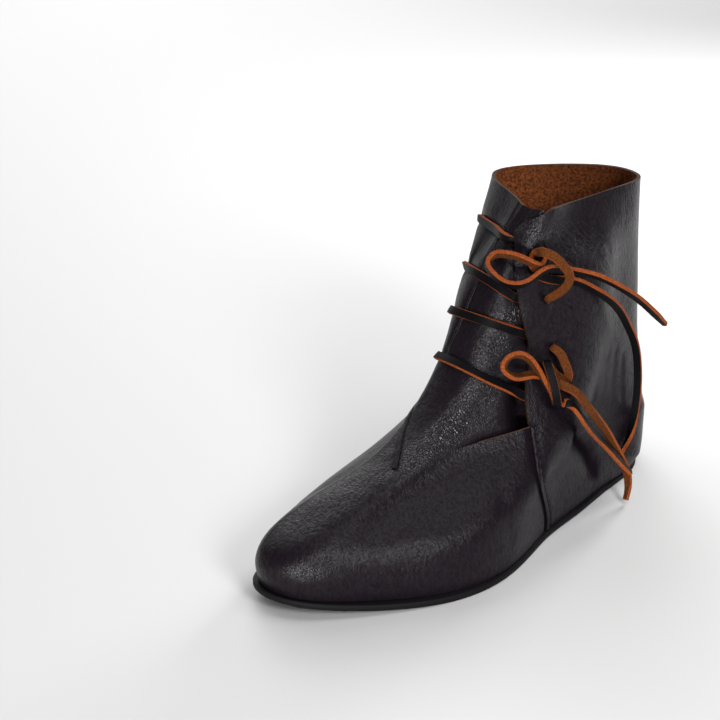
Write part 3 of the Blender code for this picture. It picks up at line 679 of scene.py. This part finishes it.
def black_grain_leather():
    """Cowhide dyed black and polished: near black, with a soft gloss that fine grain, streaks and wrinkles
    break up, and painted shade where the gloss is taken away in the seams, the knot trough and on the medial
    flank."""
    material, tree = new_material("black_grain_leather")
    place = node(tree, "ShaderNodeTexCoord").outputs["Object"]
    wrinkle, slant, shade_mark = [node(tree, "ShaderNodeAttribute", {"attribute_name": name}).outputs["Fac"]
                            for name in ("wrinkled", "slanted", "painted_shade")]
    bend = noise(tree, place, BEND_SIZE, 2.0)["Color"]
    pull = reckon(tree, "MULTIPLY_ADD", bend, (BEND_PULL * MM,) * 3, place, kind=VECTOR)
    upright = reckon(tree, "MULTIPLY", pull, STREAK_SHAPE, kind=VECTOR)
    streaks = noise(tree, upright, STREAK_SIZE, 3.0)["Fac"]
    grain = noise(tree, place, GRAIN_SIZE, 2.0)["Fac"]
    soft = noise(tree, place, SOFT_SIZE, 2.0)["Fac"]
    net = node(tree, "ShaderNodeTexVoronoi", {"feature": "DISTANCE_TO_EDGE"}, Vector=pull,
               Scale=1.0 / (NET_SIZE * MM)).outputs["Distance"]
    pits = reckon(tree, "MULTIPLY", reckon(tree, "MINIMUM", net, NET_EDGE), wrinkle)
    diagonal = node(tree, "ShaderNodeVectorRotate", {"rotation_type": "Y_AXIS"}, Vector=pull,
                    Angle=np.radians(FOLD_ANGLE)).outputs[0]
    drawn = reckon(tree, "MULTIPLY", diagonal, FOLD_SHAPE, kind=VECTOR)
    folds = reckon(tree, "MULTIPLY", noise(tree, drawn, FOLD_SIZE, 1.0)["Fac"], slant)
    even = reckon(tree, "MULTIPLY_ADD", streaks, STREAK_SHARE, grain)
    height = even
    for form, weight in ((pits, NET_SHARE), (folds, FOLD_SHARE), (soft, SOFT_SHARE)):
        height = reckon(tree, "MULTIPLY_ADD", form, weight, height)
    bump = node(tree, "ShaderNodeBump", Strength=1.0, Distance=BUMP_HEIGHT * MM, Height=height)
    worn = node(tree, "ShaderNodeMapRange", Value=even, From_Min=1.0, From_Max=1.6, To_Min=0.06, To_Max=0.17)
    shine = reckon(tree, "MULTIPLY_ADD", wrinkle, WRINKLE_SHINE, worn.outputs["Result"])
    # painted shade: the gloss is taken away where the shade mask lies
    polish = reckon(tree, "MULTIPLY", shine, reckon(tree, "SUBTRACT", 1.0, shade_mark))
    gloss = node(tree, "ShaderNodeMapRange", Value=streaks, To_Min=0.24, To_Max=0.38)
    finish_material(tree, IOR=1.5, Base_Color=two_tone(tree, soft, "#110c11", "#161116"),
                    Roughness=gloss.outputs["Result"], Normal=bump.outputs[0], Specular_IOR_Level=polish)
    return material


def nap(name, dark, pale, size, roughness):
    """Flesh side of leather: matt nap in a dark and a pale colour, with fibres of a size in millimetres."""
    material, tree = new_material(name)
    place = node(tree, "ShaderNodeTexCoord").outputs["Object"]
    fibre = noise(tree, place, size, 5.0, Roughness=0.65)["Fac"]
    share = node(tree, "ShaderNodeMapRange", Value=fibre, From_Min=0.34, From_Max=0.66).outputs["Result"]
    bump = node(tree, "ShaderNodeBump", Strength=0.8, Distance=NAP_HEIGHT * MM, Height=fibre)
    finish_material(tree, IOR=1.4, Base_Color=two_tone(tree, share, dark, pale), Roughness=roughness,
                    Normal=bump.outputs[0], Specular_IOR_Level=0.15)
    return material


def plain(name, code, roughness, specular):
    """One even colour with an even gloss."""
    material, tree = new_material(name)
    finish_material(tree, IOR=1.5, Base_Color=linear(code), Roughness=roughness, Specular_IOR_Level=specular)
    return material


# pieces

def dress(piece, slot, *nodes):
    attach(piece, "root")
    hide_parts(*nodes)


def add_value(piece, name, values):
    """Value at each place of a sheet with two sides, for its material."""
    value = piece.data.attributes.new(name, "FLOAT", "POINT")
    value.data.foreach_set("value", np.tile(values, 2).astype(np.float32))


def leather_sheet(name, turn, rise, quads, depth, materials):
    """Sheet of leather at a depth under the surface: grain face, flesh face and cut edges."""
    points = np.concatenate([skin(turn, rise, depth), skin(turn, rise, depth + WALL)])
    faces, kind = shell_faces(quads, len(turn))
    piece = add_mesh(name, points, faces, materials, kind)
    add_value(piece, "wrinkled", net_share(NETS, turn, rise))
    # painted shade along the seams, in the knot trough and on the medial flank
    add_value(piece, "painted_shade", painted_shade_share(point(turn, rise), turn, rise))
    return piece


def boot_upper(materials):
    turn, rise, quads = upper_grid()
    piece = leather_sheet("boot_upper", turn, rise, quads, -relief(point(turn, rise)), materials)
    add_value(piece, "slanted", net_share(SLANTS, turn, rise))
    dress(piece, "black_leather", "upper")


def front_panel(materials):
    turn, rise, quads = panel_grid()
    depth = tongue_depth(turn, rise) + cavity_depth(turn, rise) - relief(point(turn, rise))
    dress(leather_sheet("front_panel", turn, rise, quads, depth, materials), "black_leather", "tongue")


def net_share(nets, turn, rise):
    """Share of the nets at each place."""
    share = np.zeros(len(turn))
    for net in nets:
        aside = (turn % 1.0 - net.turn - net.slant * (rise - net.rise)) / net.turn_reach
        above = (rise - net.rise) / net.rise_reach
        share = np.maximum(share, net.share * np.exp(-aside ** 2 - above ** 2))
    return share


def painted_shade_share(places, turn, rise):
    """Share of the painted shade, where the gloss is taken away: in the seams, in the trough and on the
    medial flank.
    """
    share = net_share((PAINTED_SHADE_FLANK,), turn, rise)
    for shade_mark in PAINTED_SHADE_LINES:
        line, across = seam_line(shade_mark.line, shade_mark.aside, PAINTED_SHADE_COUNT)[:2]
        line = line + across * (shade_mark.wave * np.sin(2.0 * np.pi * way_along(line) / PAINTED_SHADE_PITCH))[:, None]
        for part in np.array_split(np.arange(len(places)), PAINTED_SHADE_PARTS):
            gap = gaps(places[part], line).min(axis=1)
            share[part] = np.maximum(share[part], shade_mark.share * bell(gap / shade_mark.wide))
    return np.minimum(share, 1.0)


def plate_line(line, inset):
    """Closed outline, moved inward."""
    along = np.roll(line, -1, axis=0) - np.roll(line, 1, axis=0)
    out = np.stack([along[:, 1], -along[:, 0]], axis=-1)
    out *= np.sign((out * (line - line.mean(axis=0))).sum())
    return line - inset * unit(out)


def sole_outline():
    """Outline of the sole from above."""
    turn = np.arange(PLATE_COLUMNS) / PLATE_COLUMNS
    lateral = turn <= 0.5
    angle = np.where(lateral, turn, 1.0 - turn) * 2.0 * np.pi
    full = np.ones(len(turn))
    widths = np.tile(SOLE_WIDTHS, (len(turn), 1))
    wide = half_width(angle, SOLE_LENGTH * full, SOLE_BACK_R * full, SOLE_FRONT_R * full, widths)
    x = SOLE_LENGTH * (1.0 - np.cos(angle)) / 2.0
    return np.stack([x, sway(x) + np.where(lateral, wide + waist_fill(x), -wide)], axis=-1)


def ground(x):
    """Height of the sole's underside."""
    arch = smooth((x - ARCH_FROM) / ARCH_EASE) * smooth((ARCH_TO - x) / ARCH_EASE)
    return toe_lift(x) + ARCH_LIFT * arch


def tread(x):
    """Height of the sole's upper face."""
    return SOLE_THICK + toe_lift(x)


def plate(name, line, profile, material):
    """Flat body: rings round the outline from a profile of insets and levels, filled below and above."""
    count = len(line)
    half = count // 2
    rings = []
    for inset, level in profile:
        flat = plate_line(line, inset)
        rings.append(np.column_stack([flat, level(flat[:, 0])]))
    points = list(np.concatenate(rings))
    faces = [[b, a, d, c] for a, b, c, d in grid_quads(len(rings), count, True)]
    for ring, level, flip in ((0, profile[0][1], True), (len(rings) - 1, profile[-1][1], False)):
        base = ring * count
        rungs = [[base]]
        for i in range(1, half):
            one, two = points[base + i], points[base + count - i]
            rung = [base + i]
            for k in range(1, PLATE_CELLS):
                p = one + (two - one) * k / PLATE_CELLS
                points.append(np.array([p[0], p[1], level(p[0])]))
                rung.append(len(points) - 1)
            rungs.append(rung + [base + count - i])
        rungs.append([base + half])
        for one, two in zip(rungs, rungs[1:]):
            for k in range(max(len(one), len(two)) - 1):
                face = [one[min(k, len(one) - 1)], two[min(k, len(two) - 1)],
                        two[min(k + 1, len(two) - 1)], one[min(k + 1, len(one) - 1)]]
                face = list(dict.fromkeys(face))
                faces.append(face if flip else face[::-1])
    return add_mesh(name, np.array(points), faces, (material,))


def outsole(leather):
    profile = ((SOLE_ROUND, ground), (SOLE_BEVEL, lambda x: ground(x) + SOLE_BEVEL),
               (0.0, lambda x: ground(x) + SOLE_ROUND), (0.0, lambda x: tread(x) - SOLE_ROUND),
               (SOLE_BEVEL, lambda x: tread(x) - SOLE_BEVEL), (SOLE_ROUND, tread))
    dress(plate("boot_outsole", sole_outline(), profile, leather), "sole_leather", "outsole")


def insole(suede):
    line = plate_line(point(np.arange(PLATE_COLUMNS) / PLATE_COLUMNS, 0.0)[:, :2], INSOLE_INSET)

    def low(x):
        return tread(x) + GAP

    def high(x):
        return tread(x) + GAP + INSOLE_THICK

    profile = ((0.0, low), (0.0, lambda x: high(x) - INSOLE_ROUND), (INSOLE_ROUND, high))
    dress(plate("boot_insole", line, profile, suede), "brown_suede", "insole")


# seams

# ridges on the surface: line, distance from it, width and height
Seam = namedtuple("Seam", "line aside wide high")
SEAMS = {
    "lateral_seam": Seam(LATERAL_SEAM, -1.6, 2.6, 0.4),
    "medial_side_seam": Seam(MEDIAL_SIDE_SEAM, 1.6, 2.6, 0.4),
    "dart_seam": Seam(MEDIAL_DART, 0.4, 3.0, 0.6),
    "panel_seam": Seam(MEDIAL_SEAM[2:], 0.9, 1.8, 0.45),
    "slit_edge": Seam(((0.3235, 0.4585), (0.344, 0.4475), (0.368, 0.4355)), 0.1, 0.7, 0.25),
    "panel_tack": Seam(((0.566, 0.926), (0.573, 0.962), (0.580, 0.998)), 0.6, 2.8, 0.7),
}
# section of a ridge as shares of half its width and of its height
SEAM_SECTION = ((-1.0, -0.9), (-1.0, 0.0), (-0.75, 0.6), (-0.35, 0.93), (0.0, 1.0), (0.35, 0.93),
                (0.75, 0.6), (1.0, 0.0), (1.0, -0.9))
# rows of thread: seam that it follows, distance from it, pitch, length and thickness of a stitch
Row = namedtuple("Row", "line aside pitch length thick")
THREADS = {
    "lateral_thread": Row(LATERAL_SEAM, -3.2, 4.3, 2.8, 0.9),
    "medial_side_thread": Row(MEDIAL_SIDE_SEAM, 3.2, 4.3, 2.8, 0.9),
    "dart_thread": Row(MEDIAL_DART, 2.2, 3.6, 2.2, 0.7),
}
THREAD_SINK = 0.2


def seam_line(line, aside, count):
    """Places beside a line on the surface, with the directions across the line and out of the surface."""
    turn, rise = on_surface(line, count)
    out = normal(turn, rise)
    places = point(turn, rise)
    across = unit(np.cross(unit(np.gradient(places, axis=0)), out))
    return places + across * aside, across, out


def seam_bead(name, seam, leather):
    """Ridge of the turned edges along a seam."""
    places, across, out = seam_line(seam.line, seam.aside, SEAM_COUNT)
    rings = [places + across * seam.wide / 2.0 * w + out * seam.high * h for w, h in SEAM_SECTION]
    points = np.stack(rings, axis=1).reshape(-1, 3)
    count = len(SEAM_SECTION)
    last = len(points) - count
    faces = [list(range(count)), list(range(last, last + count))[::-1]]
    faces += [[a, d, c, b] for a, b, c, d in grid_quads(len(places), count, True)]
    piece = add_mesh(name + "_ridge", points, faces, (leather,))
    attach(piece, "root")


def stitch_tree():
    """Stitches laid end to end along a path."""
    tree = bpy.data.node_groups.new("stitch_row", "GeometryNodeTree")
    sockets = (("Path", "INPUT", "Geometry"), ("Pitch", "INPUT", "Float"), ("Length", "INPUT", "Float"),
               ("Thickness", "INPUT", "Float"), ("Thread", "INPUT", "Material"),
               ("Stitches", "OUTPUT", "Geometry"))
    for title, way, kind in sockets:
        tree.interface.new_socket(title, in_out=way, socket_type="NodeSocket" + kind)
    given = tree.nodes.new("NodeGroupInput").outputs
    path = node(tree, "GeometryNodeMeshToCurve", Mesh=given["Path"]).outputs[0]
    spaced = node(tree, "GeometryNodeResampleCurve", {"mode": "LENGTH"}, Curve=path, Length=given["Pitch"])
    stitch = node(tree, "GeometryNodeMeshUVSphere", Segments=8, Rings=6, Radius=0.5).outputs[0]
    thick = given["Thickness"]
    size = node(tree, "ShaderNodeCombineXYZ", X=given["Length"], Y=thick, Z=thick).outputs[0]
    tangent = node(tree, "GeometryNodeInputTangent").outputs[0]
    lay = node(tree, "FunctionNodeAlignRotationToVector", {"axis": "X"}, Vector=tangent).outputs[0]
    row = node(tree, "GeometryNodeInstanceOnPoints", Points=spaced.outputs[0], Instance=stitch, Rotation=lay,
               Scale=size).outputs[0]
    real = node(tree, "GeometryNodeRealizeInstances", Geometry=row).outputs[0]
    done = node(tree, "GeometryNodeSetMaterial", Geometry=real, Material=given["Thread"]).outputs[0]
    tree.links.new(done, tree.nodes.new("NodeGroupOutput").inputs[0])
    return tree


def thread_row(name, row, tree, thread):
    """Row of stitches beside a seam, as a plain mesh."""
    places, _, out = seam_line(row.line, row.aside, SEAM_COUNT)
    mesh = bpy.data.meshes.new(name + "_path")
    path = (places - out * THREAD_SINK - ORIGIN) * MM
    mesh.from_pydata(path.tolist(), [(i, i + 1) for i in range(len(path) - 1)], [])
    guide = put(name + "_path", mesh)
    stitches = guide.modifiers.new("stitches", "NODES")
    stitches.node_group = tree
    values = {"Pitch": row.pitch * MM, "Length": row.length * MM, "Thickness": row.thick * MM,
              "Thread": thread}
    for item in tree.interface.items_tree:
        if item.name in values:
            stitches[item.identifier] = values[item.name]
    made = bpy.data.meshes.new_from_object(guide.evaluated_get(bpy.context.evaluated_depsgraph_get()))
    bpy.data.objects.remove(guide, do_unlink=True)
    made.name = name
    made.shade_smooth()
    piece = put(name, made)
    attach(piece, "root")


# laces

# rounded section of the lace as shares of half its width and half its thickness, grain side first
LACE_SECTION = ((1.0, -0.45), (1.0, 0.45), (0.9, 0.95), (0.35, 1.0), (-0.35, 1.0), (-0.9, 0.95),
                (-1.0, 0.45), (-1.0, -0.45), (-0.9, -0.95), (-0.35, -1.0), (0.35, -1.0), (0.9, -0.95))
# materials of its faces: 0 grain side, 1 cut edge, 2 flesh side
LACE_SIDES = (1, 1, 0, 0, 0, 1, 1, 1, 2, 2, 2, 1)
LACE_CUT = 1


def even_line(points, step):
    """Knots of a smooth line through the points and places along it, about a step apart."""
    knots = way_along(points)
    count = int(round(knots[-1] / step)) + 1
    return knots, np.linspace(0.0, knots[-1], count)


def lace_strip(centre, across, narrow=1.0):
    """Points, faces and face materials of a strip of lace along a line, wide in the given directions."""
    along = unit(np.gradient(centre, axis=0))
    across = unit(across - along * (across * along).sum(-1, keepdims=True))
    face = np.cross(along, across)
    across = across * narrow
    rings = [centre + across * LACE_WIDTH / 2.0 * w + face * LACE_THICK / 2.0 * t for w, t in LACE_SECTION]
    count = len(rings)
    points = np.stack(rings, axis=1).reshape(-1, 3)
    last = len(points) - count
    faces = [list(range(count))[::-1], list(range(last, last + count))]
    faces += grid_quads(len(centre), count, True)
    return points, faces, [LACE_CUT, LACE_CUT] + list(LACE_SIDES) * (len(centre) - 1)


def join_strips(strips):
    """One set of points, faces and face materials from several."""
    points, faces, kinds = [], [], []
    base = 0
    for strip_points, strip_faces, strip_kind in strips:
        points.append(strip_points)
        faces += [[base + i for i in f] for f in strip_faces]
        kinds += strip_kind
        base += len(strip_points)
    return np.concatenate(points), faces, kinds


def bar_strip(bar):
    """Bar from the hole in the flap, under its edge and over the panel, into the hole on the medial side."""
    rows = np.array(bar.line)
    beyond = rows[-1] + (rows[-1] - rows[-2]) * BAR_BEYOND
    rows = np.concatenate([rows, [beyond]])
    knots, at = even_line(point(rows[:, 0], rows[:, 1]), LACE_STEP)
    turn, rise = spline(knots, rows, at).T
    flap = turn_on(FLAP_EDGE, rise)
    depth = np.where(turn < flap + LAP_TURN, tongue_depth(turn + BAR_LEAD, rise), 0.0)
    depth = depth - BAR_CLEAR - LACE_THICK / 2.0 + bar.sink * bar_pull(turn)
    dive = smooth((at - knots[-2] + DIVE_LEAD) / DIVE_REACH)
    depth = depth + (WALL + LACE_THICK / 2.0 + GAP - depth) * dive
    share = smooth((turn - flap) / (rows[-2, 0] - flap))
    first, last = bar.roll
    roll = np.radians(first + (last - first) * share)
    roll = roll * smooth((turn - flap - ROLL_LEAD) / ROLL_EASE) * (1.0 - dive)
    centre = skin(turn, rise, depth - ROLL_LIFT * np.abs(np.sin(roll)))
    out = normal(turn, rise)
    across = unit(np.cross(out, np.gradient(centre, axis=0)))
    narrow = 1.0 - BAR_NARROW * smooth((at - knots[-2] + BAR_NARROW_REACH) / BAR_NARROW_REACH)
    return lace_strip(centre, across * np.cos(roll)[:, None] - out * np.sin(roll)[:, None], narrow[:, None])


def inner_strip(one, two):
    """Stretch of the lace inside the boot, from one medial hole to the other."""
    share = np.linspace(-INNER_OVER, 1.0 + INNER_OVER, INNER_COUNT)
    turn = one.turn + (two.turn - one.turn) * share
    rise = one.rise + (two.rise - one.rise) * share
    centre = skin(turn, rise, np.full(len(share), WALL + LACE_THICK / 2.0 + GAP))
    return lace_strip(centre, np.cross(normal(turn, rise), np.gradient(centre, axis=0)))


def lace_bars(name, materials):
    """The two bars of a lace and its stretch inside the boot."""
    solids = (name + "_bar_1", name + "_bar_2")
    one, two = (LACE_BARS[solid] for solid in solids)
    strips = [bar_strip(one), bar_strip(two), inner_strip(one.line[-1], two.line[-1])]
    points, faces, kind = join_strips(strips)
    dress(add_mesh(name + "_bars", points, faces, materials, kind), "lace_leather", *solids)


def lace_strand(name, materials):
    """Tied strand of a half bow: out of its hole, through the knot, to its free end."""
    hole = next(bar.line[0] for bar in LACE_BARS.values() if bar.strand == name)
    depths = np.array([WALL + LACE_THICK / 2.0, 0.0])
    inside, mouth = skin(np.full(2, hole.turn), np.full(2, hole.rise), depths)
    places, edges = [inside, mouth], []
    for item in LACE_STRANDS[name]:
        if isinstance(item, str):
            way = sum(np.array(AXES[word]) for word in item.split())
        else:
            places.append(item)
            edges.append(way)
    places = np.array(places)
    edges = unit(np.array(edges[:1] * 2 + edges))
    knots, at = even_line(places, LACE_STEP)
    across = np.stack([np.interp(at, knots, edges[:, i]) for i in range(3)], axis=-1)
    centre = spline(knots, places, at)
    near = HOLE_NARROW + (1.0 - HOLE_NARROW) * smooth(at / HOLE_REACH)
    far = TIP_NARROW + (1.0 - TIP_NARROW) * smooth((knots[-1] - at) / TIP_REACH)
    points, faces, kind = lace_strip(centre, across, (near * far)[:, None])
    piece = add_mesh(name + "_strand", points, faces, materials, kind)
    dress(piece, "lace_leather", name)


# stage

CAMERA_AT = (0.6110, 0.4865, 0.4420)
CAMERA_AIM = (-0.1175, -0.1932, 0.0)
CAMERA_LENS = 80.0
CAMERA_SENSOR = 36.0
CAMERA_REACH = 20.0
Lamp = namedtuple("Lamp", "place aim size power")
LAMPS = {
    "key_lamp": Lamp((0.45, 1.18, 0.80), (0.0, 0.0, 0.08), (0.40, 0.40), 13.5),
    "front_lamp": Lamp((1.30, 0.85, 0.08), (0.1, 0.0, 0.02), (0.22, 0.12), 22.0),
    "heel_lamp": Lamp((-1.00, -0.12, 0.55), (-0.22, 0.12, 0.0), (0.30, 0.30), 7.0),
    "top_lamp": Lamp((-0.2, 0.45, 1.6), (0.0, 0.0, 0.05), (0.9, 0.9), 8.0),
    "left_lamp": Lamp((-0.35, -1.25, 1.25), (0.0, 0.0, 0.05), (1.9, 1.6), 15.0),
    "back_lamp": Lamp((-1.5, -1.9, 1.4), (-1.2, -1.3, 0.0), (1.4, 1.4), 30.0),
}
WORLD_STRENGTH = 0.16
FLOOR_REACH = 6.0


def set_in_scene(name, data, place, aim):
    """Camera or lamp at a place, turned to its aim."""
    thing = put(name, data)
    thing.location = place
    thing.rotation_euler = (Vector(aim) - Vector(place)).to_track_quat("-Z", "Y").to_euler()
    return thing


def camera():
    data = bpy.data.cameras.new("photo_camera")
    data.lens = CAMERA_LENS
    data.sensor_width = CAMERA_SENSOR
    data.clip_end = CAMERA_REACH
    bpy.context.scene.camera = set_in_scene("photo_camera", data, CAMERA_AT, CAMERA_AIM)


def studio():
    """Pale floor under soft lamps: high at the outer side, low in front, behind, overhead, and far off."""
    world = bpy.data.worlds.new("studio")
    bpy.context.scene.world = world
    world.use_nodes = True
    sky = world.node_tree.nodes["Background"].inputs
    sky["Color"].default_value = (1.0, 1.0, 1.0, 1.0)
    sky["Strength"].default_value = WORLD_STRENGTH
    for name, lamp in LAMPS.items():
        data = bpy.data.lights.new(name, "AREA")
        data.shape = "RECTANGLE"
        data.size, data.size_y = lamp.size
        data.energy = lamp.power
        set_in_scene(name, data, lamp.place, lamp.aim)
    mesh = bpy.data.meshes.new("floor")
    corners = [(x * FLOOR_REACH, y * FLOOR_REACH, 0.0) for x, y in ((-1, -1), (1, -1), (1, 1), (-1, 1))]
    mesh.from_pydata(corners, [], [(0, 1, 2, 3)])
    material, tree = new_material("white_floor")
    finish_material(tree, IOR=1.45, Base_Color=linear("#d2d2d2"), Roughness=0.9)
    mesh.materials.append(material)
    floor = put("floor", mesh)


def build():
    camera()
    leather = black_grain_leather()
    # matt brown nap of the inside, and the dull brown fibres of the cut edges
    suede = nap("brown_suede", "#351a0b", "#844a28", 1.5, 0.95)
    edge = nap("cut_leather_edge", "#261a15", "#443022", 0.8, 0.8)
    # black grain face, warm orange edges and dull tan flesh side of the laces
    laces = (plain("black_lace_leather", "#0a090b", 0.5, 0.05),
             nap("orange_lace_edge", "#5c270f", "#944b22", 0.8, 0.85),
             nap("tan_lace_suede", "#381b0a", "#5f3313", 0.9, 0.95))
    for name in ("upper_lace", "lower_lace"):
        lace_bars(name, laces)
    for name in LACE_STRANDS:
        lace_strand(name, laces)
    boot_upper((leather, suede, edge))
    front_panel((leather, suede, edge))
    # flat black of the sole, hardly shiny
    outsole(plain("black_sole_leather", "#0e0c0f", 0.6, 0.10))
    insole(suede)
    for name, seam in SEAMS.items():
        seam_bead(name, seam, edge if name == "slit_edge" else leather)
    tree = stitch_tree()
    # near black thread with a faint shine
    thread = plain("black_waxed_thread", "#0f0d0f", 0.5, 0.18)
    for name, row in THREADS.items():
        thread_row(name, row, tree, thread)
    studio()
    bpy.context.scene.view_settings.view_transform = "Standard"


build()
